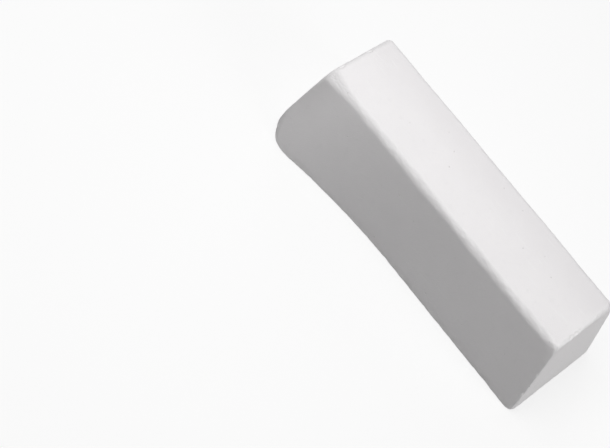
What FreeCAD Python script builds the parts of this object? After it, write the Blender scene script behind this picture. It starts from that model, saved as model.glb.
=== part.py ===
import FreeCAD, Part
import math
import os
import Sketcher

# A cast bar of white buffing compound, fine abrasive bound in hard wax.
# It is one piece, poured hot into an open mould. The mould has the same draft on all four
# walls, so the bar is a long block that narrows from its pour face up to its crown face.
# At one end the wax spread over the mould's rim before it set, so there the foot of one side
# wall bellies out and that wall leans further.
# The bar lies on the pour face. +X runs along it, away from the belly, +Y across it, away
# from the belly, and +Z up, with the origin under the middle of the whole bar.
# Lengths are in millimetres and the draft is in degrees.

PARTS_FOLDER = "parts"
NODE_NAME = "compound_bar"
POSITION_TOLERANCE = 1e-4

# Driving dimensions: alias, value, what it measures
SIZES = [
    ("base_length", 120.0, "pour face from end to end, before its rim is rounded"),
    ("base_width", 38.5, "pour face from side to side at its plain end, before its rim is rounded"),
    ("bar_height", 33.7, "pour face to crown face"),
    ("draft_angle", 9.3, "lean of the walls"),
    ("corner_radius", 0.9, "rounding of the four upright corners"),
    ("crown_radius", 2.3, "rounding round the crown face, the floor of the mould"),
    ("crown_cut", 0.03, "how far the flat crown face cuts into that rounding, leaving a faint edge"),
    ("rim_radius", 0.5, "worn edge round the pour face"),
    ("belly_reach", 5.2, "how far the foot bellies out past the plain wall's foot"),
    ("belly_place", 10.5, "widest part of the belly, from the end of the bar"),
    ("belly_length", 62.0, "where the belly runs into the plain wall, from the end of the bar"),
    ("hollow_depth", 0.7, "depth of the hollow left where the wax shrank as it set"),
    ("hollow_land", 4.0, "flat land between the hollow and the side of the bar"),
]

# How high the bar would be if its rounded edges ran out level with the crown face
ROUNDED_HEIGHT = "(sizes.bar_height + sizes.crown_cut)"

# Where the belly's two arcs meet, measured from the end of the bar
ARC_JOINT = (
    "(sizes.belly_place + (sizes.belly_length - sizes.belly_place)"
    " * (sizes.belly_place ^ 2 + sizes.belly_reach ^ 2)"
    " / ((sizes.belly_length - sizes.belly_place) ^ 2 + sizes.belly_reach ^ 2))"
)


def make_sheet(doc):
    """The spreadsheet that holds every driving dimension under its alias."""
    sheet = doc.addObject("Spreadsheet::Sheet", "sizes")
    for row, (alias, value, meaning) in enumerate(SIZES, start=1):
        sheet.set(f"A{row}", alias)
        sheet.set(f"B{row}", str(value))
        sheet.set(f"C{row}", meaning)
        sheet.setAlias(f"B{row}", alias)
    doc.recompute()
    return sheet


def origin_plane(body, role):
    """One of the body's own origin planes, such as XY_Plane."""
    return next(f for f in body.Origin.OriginFeatures if f.Role == role)


def add_sketch(body, name, role):
    """An empty sketch on one of the body's origin planes."""
    sketch = body.newObject("Sketcher::SketchObject", name)
    sketch.AttachmentSupport = [(origin_plane(body, role), "")]
    sketch.MapMode = "FlatFace"
    return sketch


def dimension(sketch, name, expression, *constraint):
    """Adds a named driving constraint and binds it to the sheet."""
    index = sketch.addConstraint(Sketcher.Constraint(*constraint))
    sketch.renameConstraint(index, name)
    sketch.setExpression(f"Constraints.{name}", expression)


def join(sketch, *ends):
    """Makes pairs of line or arc ends meet: geometry and end, geometry and end."""
    for first, first_end, second, second_end in ends:
        sketch.addConstraint(Sketcher.Constraint("Coincident", first, first_end, second, second_end))


def rounded_height(sheet):
    """The value of ROUNDED_HEIGHT."""
    return sheet.bar_height + sheet.crown_cut


def arc_joint(sheet):
    """The value of ARC_JOINT, for the first position of the points there."""
    run = sheet.belly_length - sheet.belly_place
    square = sheet.belly_reach ** 2
    return sheet.belly_place + run * (sheet.belly_place ** 2 + square) / (run ** 2 + square)


def draw_pour_outline(body, sheet):
    """The foot: a rectangle whose -Y side swells into the belly on two tangent arcs.

    The first arc is the swelling itself, from the corner of the bar over its widest point.
    The second bends the other way and runs out along the plain side.
    """
    sketch = add_sketch(body, "pour_outline", "XY_Plane")
    half_x = sheet.base_length / 2
    half_y = sheet.base_width / 2
    reach = sheet.belly_reach
    run = sheet.belly_length - sheet.belly_place
    swell_radius = (sheet.belly_place ** 2 + reach ** 2) / (2 * reach)
    both_radii = (run ** 2 + reach ** 2) / (2 * reach)
    run_radius = both_radii - swell_radius
    far_left = FreeCAD.Vector(-half_x, -half_y, 0)
    far_right = FreeCAD.Vector(-half_x, half_y, 0)
    near_left = FreeCAD.Vector(half_x, -half_y, 0)
    near_right = FreeCAD.Vector(half_x, half_y, 0)
    widest = FreeCAD.Vector(sheet.belly_place - half_x, -half_y - reach, 0)
    swell_centre = widest + FreeCAD.Vector(0, swell_radius, 0)
    run_out = FreeCAD.Vector(sheet.belly_length - half_x, -half_y, 0)
    run_centre = run_out - FreeCAD.Vector(0, run_radius, 0)
    joint = swell_centre + (run_centre - swell_centre) * (swell_radius / both_radii)
    run_middle = run_out + joint - run_centre * 2
    run_middle = run_centre + run_middle.normalize() * run_radius
    plain = sketch.addGeometry(Part.LineSegment(run_out, near_left))
    near = sketch.addGeometry(Part.LineSegment(near_left, near_right))
    right = sketch.addGeometry(Part.LineSegment(near_right, far_right))
    far = sketch.addGeometry(Part.LineSegment(far_right, far_left))
    swell = sketch.addGeometry(Part.Arc(far_left, widest, joint))
    run_arc = sketch.addGeometry(Part.Arc(run_out, run_middle, joint))
    join(sketch, (plain, 2, near, 1), (near, 2, right, 1), (right, 2, far, 1), (far, 2, swell, 1))
    for line, direction in ((plain, "Horizontal"), (near, "Vertical"), (right, "Horizontal"), (far, "Vertical")):
        sketch.addConstraint(Sketcher.Constraint(direction, line))
    # Opposite corners mirror each other through the middle of the mould
    sketch.addConstraint(Sketcher.Constraint("Symmetric", far, 2, near, 2, -1, 1))
    # The arcs' ends meet each other and the plain side with no corner
    sketch.addConstraint(Sketcher.Constraint("Tangent", swell, 2, run_arc, 2))
    sketch.addConstraint(Sketcher.Constraint("Tangent", run_arc, 1, plain, 1))
    dimension(sketch, "length", "sizes.base_length", "DistanceX", far, 2, near, 1, 2 * half_x)
    dimension(sketch, "width", "sizes.base_width", "DistanceY", near, 1, near, 2, 2 * half_y)
    dimension(
        sketch, "swell_place", "sizes.belly_place",
        "DistanceX", far, 2, swell, 3, sheet.belly_place,
    )
    dimension(
        sketch, "swell_radius",
        "(sizes.belly_place ^ 2 + sizes.belly_reach ^ 2) / (2 * sizes.belly_reach)",
        "Radius", swell, swell_radius,
    )
    dimension(
        sketch, "run_out", "sizes.belly_length",
        "DistanceX", far, 2, plain, 1, sheet.belly_length,
    )
    return sketch


def draw_crown_outline(body, sheet):
    """The sharp rectangle at the top of the walls, set in by the draft all round.

    Its -Y side is in three lines, one above each stretch of the foot.
    """
    sketch = add_sketch(body, "crown_outline", "XY_Plane")
    sketch.setExpression("AttachmentOffset.Base.z", ROUNDED_HEIGHT)
    inset = rounded_height(sheet) * math.tan(math.radians(sheet.draft_angle))
    half_x = sheet.base_length / 2 - inset
    half_y = sheet.base_width / 2 - inset
    corners = [
        FreeCAD.Vector(sheet.belly_length - half_x, -half_y, 0),
        FreeCAD.Vector(half_x, -half_y, 0),
        FreeCAD.Vector(half_x, half_y, 0),
        FreeCAD.Vector(-half_x, half_y, 0),
        FreeCAD.Vector(-half_x, -half_y, 0),
        FreeCAD.Vector(arc_joint(sheet) - half_x, -half_y, 0),
    ]
    count = len(corners)
    for side in range(count):
        sketch.addGeometry(Part.LineSegment(corners[side], corners[(side + 1) % count]))
    plain, near, right, far, swell, run_line = range(count)
    for side in range(count):
        join(sketch, (side, 2, (side + 1) % count, 1))
    for side in (plain, right, swell, run_line):
        sketch.addConstraint(Sketcher.Constraint("Horizontal", side))
    for side in (near, far):
        sketch.addConstraint(Sketcher.Constraint("Vertical", side))
    sketch.addConstraint(Sketcher.Constraint("Symmetric", far, 2, near, 2, -1, 1))
    inset_twice = f"2 * {ROUNDED_HEIGHT} * tan(sizes.draft_angle * 1 deg)"
    dimension(
        sketch, "length", f"sizes.base_length - {inset_twice}",
        "DistanceX", far, 2, near, 1, 2 * half_x,
    )
    dimension(
        sketch, "width", f"sizes.base_width - {inset_twice}",
        "DistanceY", near, 1, near, 2, 2 * half_y,
    )
    dimension(sketch, "arc_joint", ARC_JOINT, "DistanceX", swell, 1, swell, 2, arc_joint(sheet))
    dimension(
        sketch, "run_out", "sizes.belly_length",
        "DistanceX", swell, 1, plain, 1, sheet.belly_length,
    )
    return sketch


def lean_walls(body, foot, crown):
    """The cast block, with straight lines all round from the crown down to the foot.

    Taken in that order, its solid is the right way out for the fillets that follow.
    """
    block = body.newObject("PartDesign::AdditiveLoft", "cast_block")
    block.Profile = crown
    block.Sections = [foot]
    block.Ruled = True
    foot.Visibility = False
    crown.Visibility = False
    body.Document.recompute()
    return block


def is_at(place, level):
    """Whether a coordinate is the same as a level, to within the model's tolerance."""
    return abs(place - level) < POSITION_TOLERANCE


def round_edges(body, base, name, radius_alias, wanted):
    """A fillet on the edges of base whose lower and upper ends stand where wanted says."""
    chosen = []
    for number, edge in enumerate(base.Shape.Edges, start=1):
        ends = sorted((vertex.Point for vertex in edge.Vertexes), key=lambda point: point.z)
        if wanted(ends[0], ends[-1]):
            chosen.append(f"Edge{number}")
    fillet = body.newObject("PartDesign::Fillet", name)
    fillet.Base = (base, chosen)
    fillet.setExpression("Radius", f"sizes.{radius_alias}")
    body.Document.recompute()
    return fillet


def round_crown(body, block, height):
    """The edges round the top of the block."""
    return round_edges(
        body, block, "crown_edge", "crown_radius",
        lambda low, high: is_at(low.z, height) and is_at(high.z, height),
    )


def cut_crown(body, crown):
    """The flat crown face, just below where the rounded edges run out level."""
    cut = body.newObject("PartDesign::Pocket", "crown_face")
    cut.Profile = crown
    cut.Type = "Length"
    cut.setExpression("Length", "sizes.crown_cut")
    body.Document.recompute()
    return cut


def round_corners(body, crowned, half_length):
    """The four upright corners, which rise from the pour face to the crown face."""
    return round_edges(
        body, crowned, "upright_corners", "corner_radius",
        lambda low, high: is_at(low.z, 0) and not is_at(high.z, 0) and is_at(abs(low.x), half_length),
    )


def round_rim(body, cornered):
    """The outer edge of the pour face."""
    return round_edges(
        body, cornered, "pour_rim", "rim_radius",
        lambda low, high: is_at(low.z, 0) and is_at(high.z, 0),
    )


def draw_hollow_profile(body, sheet):
    """A long shallow arc in the XZ plane, with the far axis that turns it into a dished hollow."""
    sketch = add_sketch(body, "hollow_profile", "XZ_Plane")
    depth = sheet.hollow_depth
    reach = sheet.base_length / 2 - sheet.hollow_land
    breadth = sheet.base_width / 2 - sheet.hollow_land
    left = FreeCAD.Vector(-reach, 0, 0)
    right = FreeCAD.Vector(reach, 0, 0)
    down = FreeCAD.Vector(0, -depth, 0)
    axis_drop = FreeCAD.Vector(0, -(breadth ** 2 - depth ** 2) / (2 * depth), 0)
    arc = sketch.addGeometry(Part.Arc(left, FreeCAD.Vector(0, depth, 0), right))
    left_wall = sketch.addGeometry(Part.LineSegment(left, left + down))
    floor = sketch.addGeometry(Part.LineSegment(left + down, right + down))
    right_wall = sketch.addGeometry(Part.LineSegment(right + down, right))
    axis = sketch.addGeometry(Part.LineSegment(left + axis_drop, right + axis_drop), True)
    # The arc runs anticlockwise, so its start is on the right
    sketch.addConstraint(Sketcher.Constraint("Coincident", arc, 1, right_wall, 2))
    sketch.addConstraint(Sketcher.Constraint("Coincident", arc, 2, left_wall, 1))
    sketch.addConstraint(Sketcher.Constraint("Coincident", left_wall, 2, floor, 1))
    sketch.addConstraint(Sketcher.Constraint("Coincident", floor, 2, right_wall, 1))
    sketch.addConstraint(Sketcher.Constraint("Vertical", left_wall))
    sketch.addConstraint(Sketcher.Constraint("Vertical", right_wall))
    sketch.addConstraint(Sketcher.Constraint("PointOnObject", arc, 1, -1))
    sketch.addConstraint(Sketcher.Constraint("Symmetric", arc, 2, arc, 1, -2))
    sketch.addConstraint(Sketcher.Constraint("Horizontal", floor))
    sketch.addConstraint(Sketcher.Constraint("Symmetric", axis, 1, axis, 2, -2))
    sketch.addConstraint(Sketcher.Constraint("Equal", axis, floor))
    half_length = "(sizes.base_length / 2 - sizes.hollow_land)"
    half_breadth = "(sizes.base_width / 2 - sizes.hollow_land)"
    dimension(sketch, "reach", half_length, "DistanceX", -1, 1, arc, 1, reach)
    dimension(sketch, "margin", "sizes.hollow_depth", "DistanceY", left_wall, 2, left_wall, 1, depth)
    dimension(
        sketch, "arc_radius",
        f"({half_length} ^ 2 + sizes.hollow_depth ^ 2) / (2 * sizes.hollow_depth)",
        "Radius", arc, (reach ** 2 + depth ** 2) / (2 * depth),
    )
    dimension(
        sketch, "axis_drop",
        f"({half_breadth} ^ 2 - sizes.hollow_depth ^ 2) / (2 * sizes.hollow_depth)",
        "DistanceY", axis, 1, -1, 1, -axis_drop.y,
    )
    return sketch


def dish_pour_face(body, profile):
    """The shrink hollow: the long arc turned about an axis far below, deepest at the middle."""
    hollow = body.newObject("PartDesign::Groove", "shrink_hollow")
    hollow.Profile = profile
    hollow.ReferenceAxis = (profile, ["Axis0"])
    hollow.Angle = 360
    profile.Visibility = False
    return hollow


def check(doc, body):
    """Stops the build if any feature failed or the finished bar isn't one closed solid."""
    for item in doc.Objects:
        if "Invalid" in item.State or "Error" in item.State:
            raise RuntimeError(f"{item.Name} failed: {item.State}")
    shape = body.Shape
    if shape.isNull() or not shape.isValid() or len(shape.Solids) != 1:
        raise RuntimeError(f"{body.Label} is not one valid solid")


def main():
    doc = FreeCAD.newDocument("buffing_compound_bar")
    sheet = make_sheet(doc)
    body = doc.addObject("PartDesign::Body", NODE_NAME)
    body.Label = NODE_NAME
    crown = draw_crown_outline(body, sheet)
    block = lean_walls(body, draw_pour_outline(body, sheet), crown)
    rounded = round_crown(body, block, rounded_height(sheet))
    crowned = cut_crown(body, crown)
    cornered = round_corners(body, crowned, sheet.base_length / 2)
    rimmed = round_rim(body, cornered)
    dish_pour_face(body, draw_hollow_profile(body, sheet))
    # Moves the origin from the middle of the mould to the middle of the bar with its belly
    body.setExpression("Placement.Base.y", "sizes.belly_reach / 2")
    doc.recompute()
    check(doc, body)
    for cut, before in ((crowned, rounded), (body, rimmed)):
        if cut.Shape.Volume >= before.Shape.Volume:
            raise RuntimeError(f"{cut.Label} cut nothing away")
    os.makedirs(PARTS_FOLDER, exist_ok=True)
    body.Shape.exportStep(os.path.join(PARTS_FOLDER, f"{body.Label}.step"))
    print(f"{body.Label}: {body.Shape.Volume / 1000:.1f} cm3, {body.Shape.BoundBox}")


main()
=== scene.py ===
# A cast bar of white buffing compound, lying on its pour face on a pale studio floor.
# Its mesh is drawn again inside the CAD solid's box with the form of a real casting:
# rounded edges that wear unevenly, chips, a hollow pour face and a skin that isn't quite flat.
# Lengths in the mesh code are millimetres from the middle of the mould's foot. Objects, lamps
# and the camera are in metres. The near end is +X, the far end -X, left is -Y and right is +Y.
import math

import bpy
import numpy as np
from mathutils import Matrix, Vector, noise


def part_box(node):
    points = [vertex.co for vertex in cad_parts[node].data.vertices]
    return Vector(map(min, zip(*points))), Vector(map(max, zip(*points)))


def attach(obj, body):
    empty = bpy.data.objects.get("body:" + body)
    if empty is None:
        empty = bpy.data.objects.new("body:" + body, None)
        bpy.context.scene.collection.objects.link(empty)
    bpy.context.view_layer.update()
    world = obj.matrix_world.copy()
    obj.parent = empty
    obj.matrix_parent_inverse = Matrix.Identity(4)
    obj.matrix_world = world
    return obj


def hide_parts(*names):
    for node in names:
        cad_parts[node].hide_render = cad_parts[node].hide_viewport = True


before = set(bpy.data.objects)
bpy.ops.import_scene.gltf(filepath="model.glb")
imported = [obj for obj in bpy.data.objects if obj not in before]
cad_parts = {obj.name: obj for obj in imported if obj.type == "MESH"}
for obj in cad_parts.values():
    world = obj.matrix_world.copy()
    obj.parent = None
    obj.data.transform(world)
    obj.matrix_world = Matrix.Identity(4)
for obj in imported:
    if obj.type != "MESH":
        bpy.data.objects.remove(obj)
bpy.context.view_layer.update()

NODE = "compound_bar"
MM = 0.001

# Form of the casting
DRAFT = math.radians(9.3)
CORNER_RADIUS = 0.9
CROWN_RADIUS = 2.3
RIM_RADIUS = 0.5
BELLY_REACH = 5.2
BELLY_PLACE = 10.5
BELLY_LENGTH = 62.0
HOLLOW_DEPTH = 0.7
HOLLOW_LAND = 4.0

# How much further the crown's rounding comes down the left wall than it goes in over the top,
# how far the crown has sunk along that wall at the near end, the length over which the sinking
# grows and the least share of it at the far end
RIDGE_FALL = 0.25
RIDGE_DROP = 0.4
SINK_LENGTH = 60.0
LEAST_SUNK = 0.2

# Noise over the casting: wavelength, octaves and a shift that keeps each apart from the others
SWELL = (26.0, 2, 7.3)
COARSE = (14.0, 2, 3.1)
WOBBLE = (5.0, 3, 21.0)
FINE = (2.6, 3, 11.7)
RAGGED = (1.7, 2, 33.0)
GRAIN = (0.9, 3, 5.9)

# How far each kind of wear reaches from its edge or corner before it has faded out
CORNER_REACH = 9.0
END_REACH = 7.0
RIDGE_REACH = 8.0
SINK_REACH = 7.0
MARGIN_REACH = 16.0
MARGIN_FALL = 2.0
EDGE_REACH = 3.5
FOOT_REACH = 4.0
CHALK_REACH = 3.0

# How much wider the crown's rounding is at its near right corner, and tighter at the near end
NEAR_RIGHT_WIDER = 1.0
NEAR_END_TIGHTER = 1.05

# How much wider the upright corners are rounded at the crown, and how far down that reaches:
# at every corner, more at the near right one and more at the far left one
EVERY_TOP = (1.0, 4.0)
NEAR_RIGHT_TOP = (1.2, 8.0)
FAR_LEFT_TOP = (1.5, 10.0)
NEAR_LEFT_CRISPER = 0.4

# How deep the skin lies inside the sharp form, and how much deeper at the edges, on the crown's
# right margin and along the foot, with the mean depth of the skin in the hollow
SKIN_DEPTH = 0.08
EDGE_DEPTH = 0.06
MARGIN_DEPTH = 0.22
FOOT_DEPTH = 0.14
HOLLOW_SKIN = 0.06

# Spacing of the mesh's grid: fine at the edges, wider in the middle of each face
FINEST_STEP = 0.2
WIDEST_STEP = 0.56
STEP_GROWTH = 0.06

# Rays that find the skin start this deep, end at this share of the way to the sharp form, and
# are halved this many times
CORE_DEPTH = 4.5
RAY_END = 1.1
RAY_HALVINGS = 22

# Corners knocked off: end, side, foot or crown, the way the worn face looks, its depth inside
# the sharp corner, and the width over which its own edges are worn
WORN_CORNERS = [
    (-1, -1, 0, (-0.80, -0.60, 0), 1.6, 1.2),
    (1, -1, 0, (0.71, -0.71, 0), 1.35, 1.2),
    (1, -1, 1, (0.28, -0.86, 0.42), 0.9, 1.2),
    (-1, -1, 1, (-0.12, -0.63, 0.77), 2.0, 0.6),
]

# How uneven those worn faces are
WORN_RAGGED = 0.1

# How far a chip is drawn out along its edge, how uneven its floor is, how worn its rim is, and
# the depth from which it shows fresh compound in full
CHIP_STRETCH = 1.5
CHIP_RAGGED = 0.5
CHIP_WEAR = 0.25
CHIP_FRESH = 0.15

# Chips knocked out of the edges: edge, place along it, width and depth
CHIPS = [
    ("near_crown", -9.9, 1.1, 0.42),
    ("near_crown", -8.3, 0.9, 0.36),
    ("near_crown", -6.9, 1.5, 0.52),
    ("near_crown", -4.5, 1.1, 0.44),
    ("near_crown", -2.6, 0.8, 0.34),
    ("near_crown", 6.5, 0.9, 0.36),
    ("right_crown", -33.1, 1.4, 0.32),
    ("right_crown", -9.5, 1.2, 0.30),
    ("right_crown", -6.9, 0.9, 0.22),
    ("right_crown", 15.4, 1.3, 0.30),
    ("right_crown", 18.5, 1.0, 0.25),
    ("right_crown", 37.2, 1.3, 0.32),
    ("right_crown", 39.4, 0.9, 0.22),
    ("left_crown", -8.7, 1.3, 0.16),
    ("left_crown", 10.5, 1.6, 0.20),
    ("left_crown", 33.0, 1.1, 0.13),
    ("near_left", 20.5, 0.9, 0.22),
    ("near_left", 10.4, 1.2, 0.34),
    ("left_foot", -2.0, 1.8, 0.35),
    ("left_foot", 17.5, 1.3, 0.28),
    ("left_foot", 43.0, 1.6, 0.34),
    ("near_foot", 5.0, 1.4, 0.30),
    ("near_foot", -9.0, 1.2, 0.28),
    ("right_foot", -28.0, 2.4, 0.50),
    ("right_foot", 11.0, 1.5, 0.30),
    ("right_foot", 47.0, 1.2, 0.28),
    ("far_crown", 4.0, 1.4, 0.30),
    ("far_crown", -8.5, 1.0, 0.22),
    ("far_foot", -6.0, 2.2, 0.50),
    ("far_foot", 12.0, 1.3, 0.28),
]

# Colours of the compound, with the painted shade of the crown's right margin and of the pinholes
SKIN_DEEP = (0.868, 0.850, 0.857)
SKIN_PALE = (0.892, 0.875, 0.881)
FLECK = (0.84, 0.823, 0.83, 1)
# Painted shade: the crown's right margin is coloured darker, standing in for the light falling off towards
# the right side
MARGIN_PAINTED_SHADE = (0.81, 0.79, 0.80, 1)
WORN = (0.905, 0.90, 0.90, 1)
SCUFFED = (0.91, 0.905, 0.905, 1)
CHIPPED = (0.91, 0.90, 0.90, 1)
# Painted shade: the inside of each pinhole is coloured darker
HOLE_PAINTED_SHADE = (0.62, 0.60, 0.60, 1)

# Scales of its textures, in repeats per metre
CLOUD_SCALE = 55.0
SCUFF_PATCH_SCALE = 75.0
SCUFF_SCALE = (90.0, 2200.0, 2200.0)
HOLE_SCALE = 330.0
FLECK_SCALE = 420.0
GRIT_SCALE = 2600.0
BUMP_HEIGHT = 0.00012

# Ways that the two sets of scuffs are drawn, as turns about each axis
SCUFF_TURNS = [(0.15, 0.4, 0.5), (-0.3, -0.25, -0.7)]

# Floor under the bar: its radius and sides, and the share of it that glows white to the camera
FLOOR_RADIUS = 3.0
FLOOR_SIDES = 64
FLOOR_GLOW = 0.75

# Softboxes: name, place, size and watts, and the strength of the even light from the world
SOFTBOXES = [
    ("key", (-0.10, -0.06, 0.42), 0.34, 1.46),
    ("near_fill", (0.60, 0.02, 0.24), 0.40, 1.57),
    ("back_fill", (-0.40, 0.50, 0.30), 0.45, 0.93),
]
WORLD_LIGHT = 0.08

# Camera, fitted to the edges of the bar in the photograph
PHOTO_WIDTH = 610
FOCAL_PIXELS = 1493.1
SENSOR_WIDTH = 36.0
CAMERA_PLACE = Vector((61.222, -271.890, 394.512)) * MM
IMAGE_RIGHT = Vector((0.6118879, 0.7280294, 0.3091381))
IMAGE_DOWN = Vector((0.7692102, -0.4567443, -0.4468784))


class Bar:
    """The casting's main sizes, from the box of the CAD solid, measured from the mould's middle."""

    def __init__(self, high):
        # The leaning wall meets the rounded rim a little outside the widest point of the box
        rim_reach = RIM_RADIUS * ((1 + math.sin(DRAFT)) / math.cos(DRAFT) - 1)
        self.middle = np.array([0, BELLY_REACH / 2, 0])
        self.half_length = high.x / MM + rim_reach
        self.half_width = high.y / MM - self.middle[1] + rim_reach
        self.height = high.z / MM
        self.crown_x = self.half_length - self.inset(self.height)
        self.crown_y = self.half_width - self.inset(self.height)

    def inset(self, z):
        """How far the leaning walls have come in at height z."""
        return z * math.tan(DRAFT)

    def belly(self, x, z):
        """How far the left wall bellies out, on two tangent arcs at the foot, fading to the crown."""
        run = BELLY_LENGTH - BELLY_PLACE
        swell_radius = (BELLY_PLACE ** 2 + BELLY_REACH ** 2) / (2 * BELLY_REACH)
        both_radii = (run ** 2 + BELLY_REACH ** 2) / (2 * BELLY_REACH)
        run_radius = both_radii - swell_radius
        from_corner = np.clip(x + self.half_length - self.inset(z), 0, BELLY_LENGTH)
        joint = BELLY_PLACE + run * swell_radius / both_radii
        swell = BELLY_REACH - swell_radius + np.sqrt(
            np.maximum(swell_radius ** 2 - (from_corner - BELLY_PLACE) ** 2, 0))
        run_out = run_radius - np.sqrt(run_radius ** 2 - (BELLY_LENGTH - from_corner) ** 2)
        at_foot = np.where(from_corner < joint, swell, run_out)
        return at_foot * np.clip(1 - z / self.height, 0, 1)

    def left_wall(self, x, z):
        """How far out the sharp left wall stands."""
        return self.half_width - self.inset(z) + self.belly(x, z)


def grid_line(length):
    """Places from 0 to length, close together at both ends and further apart between them."""
    half = [0.0]
    while half[-1] < length / 2:
        half.append(half[-1] + min(WIDEST_STEP, FINEST_STEP + STEP_GROWTH * half[-1]))
    half = np.array(half) * (length / 2 / half[-1])
    return np.concatenate([half, length - half[-2::-1]])


def block_lattice(bar):
    """The surface of a sharp block as a closed grid of quads, with no vertex repeated."""
    lines = [grid_line(2 * bar.half_length), grid_line(2 * bar.half_width), grid_line(bar.height)]
    counts = [len(line) for line in lines]
    index = -np.ones(counts, int)
    on_skin = np.zeros(counts, bool)
    for axis in range(3):
        skin = [slice(None)] * 3
        for end in (0, -1):
            skin[axis] = end
            on_skin[tuple(skin)] = True
    index[on_skin] = np.arange(on_skin.sum())
    i, j, k = np.nonzero(on_skin)
    points = np.stack([lines[0][i], lines[1][j], lines[2][k]], axis=1)
    quads = []
    for axis in range(3):
        for end in (0, -1):
            sheet = np.take(index, end, axis=axis)
            corners = [sheet[:-1, :-1], sheet[1:, :-1], sheet[1:, 1:], sheet[:-1, 1:]]
            facing_out = (end == -1) == (axis != 1)
            if not facing_out:
                corners.reverse()
            quads.append(np.stack(corners, axis=-1).reshape(-1, 4))
    return points, np.concatenate(quads)


def lean(points, bar):
    """Moves the sharp block's points to the drafted and bellied walls, centred on the mould."""
    x, y, z = points.T
    x = (x - bar.half_length) * (1 - bar.inset(z) / bar.half_length)
    left = bar.left_wall(x, z)
    right = bar.half_width - bar.inset(z)
    return np.stack([x, y / (2 * bar.half_width) * (left + right) - left, z], axis=1)


def core_points(points, bar):
    """The nearest point of an inner block for each surface point, from which its ray starts."""
    x, y, z = points.T
    inner_z = np.clip(z, CORE_DEPTH, bar.height - CORE_DEPTH)
    reach_x = bar.half_length - bar.inset(inner_z) - CORE_DEPTH
    inner_x = np.clip(x, -reach_x, reach_x)
    left = bar.left_wall(inner_x, inner_z) - CORE_DEPTH
    right = bar.half_width - bar.inset(inner_z) - CORE_DEPTH
    return np.stack([inner_x, np.clip(y, -left, right), inner_z], axis=1)


def rounded(a, b, radius, turn=0.0):
    """Distance outside two faces that meet in an edge rounded to radius.

    turn is the cosine of the angle between the ways that the faces look.
    """
    past_a = a + radius
    past_b = b + radius
    square = (past_a ** 2 + past_b ** 2 - 2 * turn * past_a * past_b) / (1 - turn ** 2)
    on_arc = (past_a > turn * past_b) & (past_b > turn * past_a)
    return np.where(on_arc, np.sqrt(np.maximum(square, 0)) - radius, np.maximum(a, b))


def worn_edge(a, b, width):
    """The greater of two distances, with the edge where they cross worn over a width."""
    overlap = np.maximum(width - np.abs(a - b), 0)
    return np.maximum(a, b) + overlap ** 2 / (4 * width)


def ripple(points, wavelength, octaves, shift):
    """Smooth noise from about -1 to 1 at each point."""
    scaled = points / wavelength + shift
    return np.array([noise.fractal(Vector(p), 1.0, 2.0, octaves) for p in scaled])


def near(distance, width):
    """1 at no distance, falling smoothly to 0 at width."""
    t = np.clip(1 - np.abs(distance) / width, 0, 1)
    return t * t * (3 - 2 * t)


class Unevenness:
    """Noise at six wavelengths for each ray."""

    def __init__(self, sharp):
        self.swell = ripple(sharp, *SWELL)
        self.coarse = ripple(sharp, *COARSE)
        self.wobble = ripple(sharp, *WOBBLE)
        self.fine = ripple(sharp, *FINE)
        self.ragged = ripple(sharp, *RAGGED)
        self.grain = ripple(sharp, *GRAIN)


class Places:
    """Where each ray meets the sharp form: depths from its edges, and 0 to 1 near worn or sunk places and
    the crown's right margin, which also carries painted shade.
    """

    def __init__(self, sharp, bar):
        x, y, z = sharp.T
        self.x = x
        self.y = y
        self.z = z
        self.from_end = bar.half_length - bar.inset(z) - np.abs(x)
        self.from_side = np.minimum(bar.half_width - bar.inset(z) - y, bar.left_wall(x, z) + y)
        self.from_crown = bar.height - z
        depths = np.sort(np.stack([self.from_end, self.from_side, self.from_crown, z]), axis=0)
        self.from_edge = depths[1]
        self.far_left = near(np.hypot(x + bar.crown_x, y + bar.crown_y), CORNER_REACH)
        self.near_right = near(np.hypot(x - bar.crown_x, y - bar.crown_y), CORNER_REACH)
        self.near_end = near(bar.crown_x - x, END_REACH)
        self.ridge = near(bar.left_wall(x, z) + y, RIDGE_REACH)
        self.beside_ridge = near(np.maximum(y + bar.crown_y, 0), SINK_REACH)
        # The crown's right margin: sunk a little into the skin and, in the material, darkened with painted
        # shade
        self.margin = near(y - bar.crown_y, MARGIN_REACH) * near(self.from_crown, MARGIN_FALL)


def crown_rounding(uneven, places):
    """The crown's radius: uneven, wider at the near right corner and tighter at the near end."""
    wavy = 0.3 * uneven.coarse + (0.15 + 0.2 * places.ridge) * uneven.wobble + 0.1 * uneven.ragged
    tighter = places.near_end * (0.3 * uneven.ragged - NEAR_END_TIGHTER)
    return CROWN_RADIUS + wavy + NEAR_RIGHT_WIDER * places.near_right + tighter


def corner_rounding(uneven, places):
    """The upright corners' radius: wider towards the crown, and crisp at the near left one."""
    radius = CORNER_RADIUS + 0.12 * uneven.coarse
    tops = [(1.0, EVERY_TOP), (places.near_right, NEAR_RIGHT_TOP), (places.far_left, FAR_LEFT_TOP)]
    for place, (wider, reach) in tops:
        radius = radius + wider * place * near(places.from_crown, reach)
    return radius - NEAR_LEFT_CRISPER * ((places.x > 0) & (places.y < 0))


def rim_rounding(uneven):
    """The rim's radius, only ever wider than the sharpest, so that the foot stays in the CAD box."""
    return RIM_RADIUS + 0.12 * np.clip(uneven.coarse + uneven.fine, 0, 2)


def skin_relief(uneven, places):
    """How far the skin lies inside the sharp form, and never outside it."""
    at_edge = near(places.from_edge, EDGE_REACH) * (EDGE_DEPTH + 0.07 * uneven.fine)
    at_foot = FOOT_DEPTH * np.clip(uneven.wobble, 0, 1) * near(places.z, FOOT_REACH)
    relief = SKIN_DEPTH + 0.05 * uneven.swell + 0.03 * uneven.coarse + at_edge
    return np.maximum(relief + (MARGIN_DEPTH * places.margin + at_foot), 0)


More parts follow.
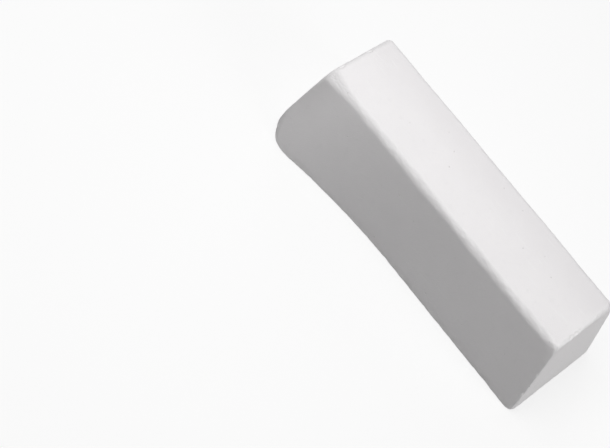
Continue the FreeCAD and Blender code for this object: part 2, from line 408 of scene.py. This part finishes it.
def wall_slopes(places, bar):
    """How the side walls lean and turn where the left one bellies out.

    The first number turns a distance across the bar into one square to the wall, the second is
    the sine of the wall's lean, and the third the cosine of the angle to the end wall's way.
    """
    x = places.x
    z = places.z
    step = 0.1
    on_left = places.y < 0
    slope = (bar.belly(x + step, z) - bar.belly(x - step, z)) / (2 * step) * on_left
    lean_tan = math.tan(DRAFT) + bar.belly(x, 0) / bar.height * on_left
    stretch = np.sqrt(1 + slope ** 2 + lean_tan ** 2)
    rise = np.where(places.from_side < places.from_end, lean_tan / stretch, math.sin(DRAFT))
    turn = np.where(x < 0, slope / stretch * math.cos(DRAFT), 0)
    return stretch, rise, turn


class Surface:
    """The worn casting as a distance field, with the variation that belongs to each ray."""

    def __init__(self, sharp, bar):
        self.bar = bar
        self.places = Places(sharp, bar)
        uneven = Unevenness(sharp)
        self.grain = uneven.grain
        self.crown_radius = crown_rounding(uneven, self.places)
        self.corner_radius = corner_rounding(uneven, self.places)
        self.rim_radius = rim_rounding(uneven)
        self.crown_fall = 1 - RIDGE_FALL * self.places.ridge
        sunk = np.clip(self.places.x / SINK_LENGTH + 0.5, LEAST_SUNK, 1)
        self.crown_drop = RIDGE_DROP * self.places.beside_ridge * sunk
        self.stretch, self.wall_rise, self.wall_turn = wall_slopes(self.places, bar)
        self.relief = skin_relief(uneven, self.places)
        self.pour_skin = np.maximum(HOLLOW_SKIN + 0.05 * uneven.coarse + 0.03 * uneven.fine, 0)

    def form(self, points):
        """Distance outside the rounded casting, before chips."""
        x, y, z = points.T
        bar = self.bar
        end = (np.abs(x) - bar.half_length + bar.inset(z)) * math.cos(DRAFT)
        right = y - bar.half_width + bar.inset(z)
        left = -y - bar.left_wall(x, z)
        side = np.maximum(left, right) / self.stretch
        walls = rounded(end, side, self.corner_radius, self.wall_turn)
        top = (z - bar.height + self.crown_drop) * self.crown_fall
        crown = rounded(walls, top, self.crown_radius, self.wall_rise) + self.relief
        for corner in WORN_CORNERS:
            crown = self.worn_off(crown, points, *corner)
        foot = self.hollow_floor(x, y) - z
        return rounded(crown, foot, self.rim_radius, -self.wall_rise)

    def worn_off(self, crown, points, end, side, level, outward, depth, width):
        """The distance after one corner is knocked off."""
        rise = level * self.bar.height
        corner = np.array([end * (self.bar.half_length - self.bar.inset(rise)),
                           side * (self.bar.half_width - self.bar.inset(rise)), rise])
        worn = (points - corner) @ np.array(outward) + depth + WORN_RAGGED * self.grain
        return worn_edge(crown, worn, width)

    def hollow_floor(self, x, y):
        """Height of the pour face, which shrank into a dish inside its flat land."""
        reach_x = self.bar.half_length - HOLLOW_LAND
        reach_y = self.bar.half_width - HOLLOW_LAND
        hollow = np.maximum(1 - (x / reach_x) ** 2 - (y / reach_y) ** 2, 0)
        return HOLLOW_DEPTH * hollow + self.pour_skin * (hollow > 0)

    def chipped(self, points, chips):
        """The casting with the chips knocked out of it."""
        distance = self.form(points)
        for centre, along, radius, depth in chips:
            away = points - centre
            away -= np.outer(away @ along, along * (1 - 1 / CHIP_STRETCH))
            bite = radius - np.linalg.norm(away, axis=1) + CHIP_RAGGED * depth * self.grain
            distance = worn_edge(distance, bite, CHIP_WEAR)
        return distance


def find_surface(surface, core, sharp, chips):
    """Where each ray, from its core point out through its sharp point, leaves the casting."""
    low = np.zeros(len(core))
    high = np.full(len(core), RAY_END)
    for _ in range(RAY_HALVINGS):
        middle = (low + high) / 2
        inside = surface.chipped(core + (sharp - core) * middle[:, None], chips) < 0
        low = np.where(inside, middle, low)
        high = np.where(inside, high, middle)
    return core + (sharp - core) * ((low + high) / 2)[:, None]


def edge_point(bar, edge, place):
    """A point on a named edge of the sharp form, the way along it and the way a chip looks out."""
    wall_x = bar.half_length - bar.inset(place)
    wall_y = bar.half_width - bar.inset(place)
    foot_y = bar.half_width + bar.belly(place, 0)
    along_bar = (1, 0, 0)
    across = (0, 1, 0)
    up = (0, 0, 1)
    edges = {
        "left_crown": ((place, -bar.crown_y, bar.height), along_bar, (0, -1, 1)),
        "right_crown": ((place, bar.crown_y, bar.height), along_bar, (0, 1, 1)),
        "near_crown": ((bar.crown_x, place, bar.height), across, (1, 0, 0.35)),
        "far_crown": ((-bar.crown_x, place, bar.height), across, (-1, 0, 1)),
        "left_foot": ((place, -foot_y, 0), along_bar, (0, -1, -0.4)),
        "right_foot": ((place, bar.half_width, 0), along_bar, (0, 1, -0.4)),
        "near_foot": ((bar.half_length, place, 0), across, (1, 0, -0.4)),
        "far_foot": ((-bar.half_length, place, 0), across, (-1, 0, -0.4)),
        "near_left": ((wall_x, -wall_y, place), up, (1, -1, 0)),
    }
    point, along, outward = (np.array(numbers, float) for numbers in edges[edge])
    return point, along, outward / np.linalg.norm(outward)


def rounding_gap(edge, outward):
    """How far inside the sharp edge the rounded edge lies, along the way out."""
    radii = {"crown": CROWN_RADIUS, "foot": RIM_RADIUS, "left": CORNER_RADIUS}
    return radii[edge.split("_")[1]] * (np.abs(outward).sum() - 1)


def chip_spheres(bar):
    """Each chip as the ball that scoops it out: centre, way it is drawn out, radius and depth."""
    spheres = []
    for edge, place, width, depth in CHIPS:
        point, along, outward = edge_point(bar, edge, place)
        radius = (width * width / 4 + depth * depth) / (2 * depth)
        centre = point + outward * (radius - depth - rounding_gap(edge, outward))
        spheres.append((centre, along, radius, depth))
    return spheres


def build_bar():
    """The bar's mesh, riding on the root body in place of its CAD node."""
    bar = Bar(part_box(NODE)[1])
    lattice, quads = block_lattice(bar)
    sharp = lean(lattice, bar)
    surface = Surface(sharp, bar)
    core = core_points(sharp, bar)
    places = find_surface(surface, core, sharp, chip_spheres(bar))
    whole = find_surface(surface, core, sharp, [])
    mesh = bpy.data.meshes.new("white_bar")
    mesh.from_pydata(((places + bar.middle) * MM).tolist(), [], quads.tolist())
    mesh.shade_smooth()
    store_wear_and_painted_shade(mesh, surface, np.linalg.norm(places - whole, axis=1))
    mesh.update()
    piece = bpy.data.objects.new("white_bar", mesh)
    bpy.context.collection.objects.link(piece)
    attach(piece, "root")
    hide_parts(NODE)
    piece.data.materials.append(compound_material())


def store_wear_and_painted_shade(mesh, surface, chipped_off):
    """Keeps, for the material, how chipped and worn each vertex is, and the crown's right margin, which is
    darkened with painted shade.
    """
    patchy = np.clip(0.6 + 0.5 * surface.grain, 0, 1)
    layers = {
        "chip": np.clip(chipped_off / CHIP_FRESH, 0, 1),
        "wear": near(surface.places.from_edge, CHALK_REACH) * patchy,
        "margin": surface.places.margin,
    }
    for name, values in layers.items():
        layer = mesh.attributes.new(name, "FLOAT", "POINT")
        layer.data.foreach_set("value", values.astype(np.float32))


def put(tree, socket, value):
    """Links a socket's value in, or sets a plain one."""
    if isinstance(value, bpy.types.NodeSocket):
        tree.links.new(value, socket)
    else:
        socket.default_value = value


class Nodes:
    """Short calls for building a material's node tree."""

    def __init__(self, name):
        self.material = bpy.data.materials.new(name)
        self.material.use_nodes = True
        self.tree = self.material.node_tree
        self.tree.nodes.clear()

    def add(self, kind, settings=None, **inputs):
        """A node of the kind, its settings as properties and its inputs linked or set."""
        node = self.tree.nodes.new(kind)
        for name, value in (settings or {}).items():
            setattr(node, name, value)
        for name, value in inputs.items():
            put(self.tree, node.inputs[name.replace("_", " ")], value)
        return node

    def math(self, operation, a, b):
        """The result of a Math node on two values or sockets."""
        node = self.add("ShaderNodeMath", {"operation": operation})
        put(self.tree, node.inputs[0], a)
        put(self.tree, node.inputs[1], b)
        return node.outputs[0]

    def noise(self, where, scale, detail=2.0, roughness=0.5):
        """Smooth noise from 0 to 1."""
        node = self.add("ShaderNodeTexNoise", Vector=where, Scale=scale, Detail=detail, Roughness=roughness)
        return node.outputs["Fac"]

    def spread(self, value, before, after):
        """The value moved from one range to another and held within it."""
        node = self.add("ShaderNodeMapRange", Value=value, From_Min=before[0], From_Max=before[1],
                        To_Min=after[0], To_Max=after[1])
        return node.outputs["Result"]

    def ramp(self, value, start, end):
        """A colour ramp between two stops of (place, colour)."""
        node = self.add("ShaderNodeValToRGB", Fac=value)
        for point, (place, colour) in zip(node.color_ramp.elements, (start, end)):
            point.position = place
            point.color = (*colour, 1)
        return node.outputs["Color"]

    def mix(self, factor, a, b):
        """The colour mix of a and b."""
        node = self.add("ShaderNodeMix", {"data_type": "RGBA"})
        for number, value in ((0, factor), (6, a), (7, b)):
            put(self.tree, node.inputs[number], value)
        return node.outputs[2]

    def vertex_value(self, name):
        """A number kept on the mesh's vertices."""
        return self.add("ShaderNodeAttribute", {"attribute_name": name}).outputs["Fac"]


def pinholes(nodes, where):
    """Air holes up to half a millimetre wide that burst at the skin: 1 in a hole, 0 beside it."""
    cells = nodes.add("ShaderNodeTexVoronoi", Vector=where, Scale=HOLE_SCALE)
    red = nodes.add("ShaderNodeSeparateColor", Color=cells.outputs["Color"]).outputs["Red"]
    size = nodes.spread(red, (0.62, 1.0), (0.0, 0.11))
    return nodes.spread(nodes.math("SUBTRACT", cells.outputs["Distance"], size), (-0.03, 0.0), (1.0, 0.0))


def scuffs(nodes, where):
    """Fine streaks where the bar was handled, in patches and two slanting directions."""
    patches = nodes.spread(nodes.noise(where, SCUFF_PATCH_SCALE), (0.50, 0.62), (0.0, 1.0))
    streaks = 0.0
    for turn in SCUFF_TURNS:
        drawn = nodes.add("ShaderNodeMapping", Vector=where, Rotation=turn, Scale=SCUFF_SCALE)
        line = nodes.spread(nodes.noise(drawn.outputs["Vector"], 1.0), (0.62, 0.70), (0.0, 1.0))
        streaks = nodes.math("MAXIMUM", streaks, line)
    return nodes.math("MULTIPLY", streaks, patches)


def compound_material():
    """White abrasive powder bound in hard wax: matte, chalky at the edges, with fine pores, and painted
    shade darkening the crown's right margin and the pinholes.
    """
    nodes = Nodes("white_compound")
    where = nodes.add("ShaderNodeTexCoord").outputs["Object"]
    wear = nodes.vertex_value("wear")
    clouds = nodes.noise(where, CLOUD_SCALE, 3.0, 0.55)
    flecks = nodes.noise(where, FLECK_SCALE, 3.0, 0.6)
    grit = nodes.noise(where, GRIT_SCALE, 2.0, 0.6)
    hole = pinholes(nodes, where)
    scuff = scuffs(nodes, where)
    colour = nodes.ramp(clouds, (0.3, SKIN_DEEP), (0.7, SKIN_PALE))
    colour = nodes.mix(nodes.spread(flecks, (0.58, 0.75), (0.0, 0.5)), colour, FLECK)
    tints = [
        # Painted shade: the crown's right margin is darkened where the light falls off towards the right
        (nodes.vertex_value("margin"), 0.8, MARGIN_PAINTED_SHADE),
        (wear, 0.35, WORN),
        (scuff, 0.5, SCUFFED),
        (nodes.vertex_value("chip"), 0.35, CHIPPED),
        # Painted shade: each pinhole is darkened inside
        (hole, 0.55, HOLE_PAINTED_SHADE),
    ]
    for place, strength, tint in tints:
        colour = nodes.mix(nodes.math("MULTIPLY", place, strength), colour, tint)
    roughness = nodes.spread(nodes.math("ADD", clouds, wear), (0.3, 1.4), (0.52, 0.78))
    roughness = nodes.math("SUBTRACT", roughness, nodes.math("MULTIPLY", scuff, 0.12))
    skin = nodes.math("ADD", nodes.math("MULTIPLY", flecks, 0.8), nodes.math("MULTIPLY", grit, 0.7))
    skin = nodes.math("SUBTRACT", skin, nodes.math("MULTIPLY", scuff, 0.12))
    skin = nodes.math("SUBTRACT", skin, hole)
    bump = nodes.add("ShaderNodeBump", Height=skin, Strength=0.6, Distance=BUMP_HEIGHT)
    shader = nodes.add("ShaderNodeBsdfPrincipled", Base_Color=colour, Roughness=roughness,
                       Normal=bump.outputs["Normal"])
    shader.inputs["Specular IOR Level"].default_value = 0.35
    nodes.add("ShaderNodeOutputMaterial", Surface=shader.outputs["BSDF"])
    return nodes.material


def seen_directly(nodes):
    """1 for what the camera sees, straight or in a reflection, and 0 for light that bounces."""
    path = nodes.add("ShaderNodeLightPath").outputs
    direct = nodes.math("MAXIMUM", path["Is Camera Ray"], path["Is Glossy Ray"])
    return nodes.math("MAXIMUM", direct, path["Is Transmission Ray"])


def floor_material():
    """A pale floor that shows white to the camera and keeps the bar's shadow."""
    nodes = Nodes("studio_floor")
    bounce = nodes.add("ShaderNodeBsdfDiffuse", Color=(0.35, 0.35, 0.35, 1))
    paper = nodes.add("ShaderNodeBsdfDiffuse", Color=(0.95, 0.95, 0.95, 1))
    glow = nodes.add("ShaderNodeEmission", Color=(1, 1, 1, 1), Strength=1.0)
    shown = nodes.add("ShaderNodeMixShader", Fac=FLOOR_GLOW)
    put(nodes.tree, shown.inputs[1], paper.outputs[0])
    put(nodes.tree, shown.inputs[2], glow.outputs[0])
    both = nodes.add("ShaderNodeMixShader", Fac=seen_directly(nodes))
    put(nodes.tree, both.inputs[1], bounce.outputs[0])
    put(nodes.tree, both.inputs[2], shown.outputs[0])
    nodes.add("ShaderNodeOutputMaterial", Surface=both.outputs[0])
    return nodes.material


def build_floor():
    """A flat round floor under the bar."""
    mesh = bpy.data.meshes.new("studio_floor")
    turns = [2 * math.pi * n / FLOOR_SIDES for n in range(FLOOR_SIDES)]
    ring = [(FLOOR_RADIUS * math.cos(t), FLOOR_RADIUS * math.sin(t), 0) for t in turns]
    mesh.from_pydata(ring, [], [list(range(FLOOR_SIDES))])
    mesh.materials.append(floor_material())
    floor = bpy.data.objects.new("studio_floor", mesh)
    bpy.context.collection.objects.link(floor)


def add_softbox(name, place, size, watts):
    """A square area lamp that faces the bar."""
    lamp = bpy.data.lights.new(name, "AREA")
    lamp.shape = "SQUARE"
    lamp.size = size
    lamp.energy = watts
    box = bpy.data.objects.new(name, lamp)
    box.location = place
    box.rotation_euler = (-Vector(place)).to_track_quat("-Z", "Y").to_euler()
    bpy.context.collection.objects.link(box)


def light_world():
    """An even grey world that shows white to the camera."""
    world = bpy.data.worlds.new("studio")
    bpy.context.scene.world = world
    world.use_nodes = True
    tree = world.node_tree
    tree.nodes.clear()
    path = tree.nodes.new("ShaderNodeLightPath")
    strength = tree.nodes.new("ShaderNodeMapRange")
    strength.inputs["To Min"].default_value = WORLD_LIGHT
    strength.inputs["To Max"].default_value = 1.0
    back = tree.nodes.new("ShaderNodeBackground")
    back.inputs["Color"].default_value = (1, 1, 1, 1)
    output = tree.nodes.new("ShaderNodeOutputWorld")
    tree.links.new(path.outputs["Is Camera Ray"], strength.inputs["Value"])
    tree.links.new(strength.outputs["Result"], back.inputs["Strength"])
    tree.links.new(back.outputs["Background"], output.inputs["Surface"])


def light_studio():
    """A soft key overhead, soft fills past the near end and the far right corner, and the world."""
    for softbox in SOFTBOXES:
        add_softbox(*softbox)
    light_world()


def place_camera():
    """The photograph's own viewpoint, looking down on the bar's near left side."""
    lens = bpy.data.cameras.new("camera")
    lens.sensor_fit = "HORIZONTAL"
    lens.sensor_width = SENSOR_WIDTH
    lens.lens = FOCAL_PIXELS / PHOTO_WIDTH * SENSOR_WIDTH
    camera = bpy.data.objects.new("camera", lens)
    back = -IMAGE_RIGHT.cross(IMAGE_DOWN)
    turn = Matrix((IMAGE_RIGHT, -IMAGE_DOWN, back)).transposed()
    camera.matrix_world = Matrix.Translation(CAMERA_PLACE) @ turn.to_4x4()
    bpy.context.collection.objects.link(camera)
    bpy.context.scene.camera = camera


build_bar()
build_floor()
light_studio()
place_camera()
bpy.context.scene.view_settings.view_transform = "Standard"
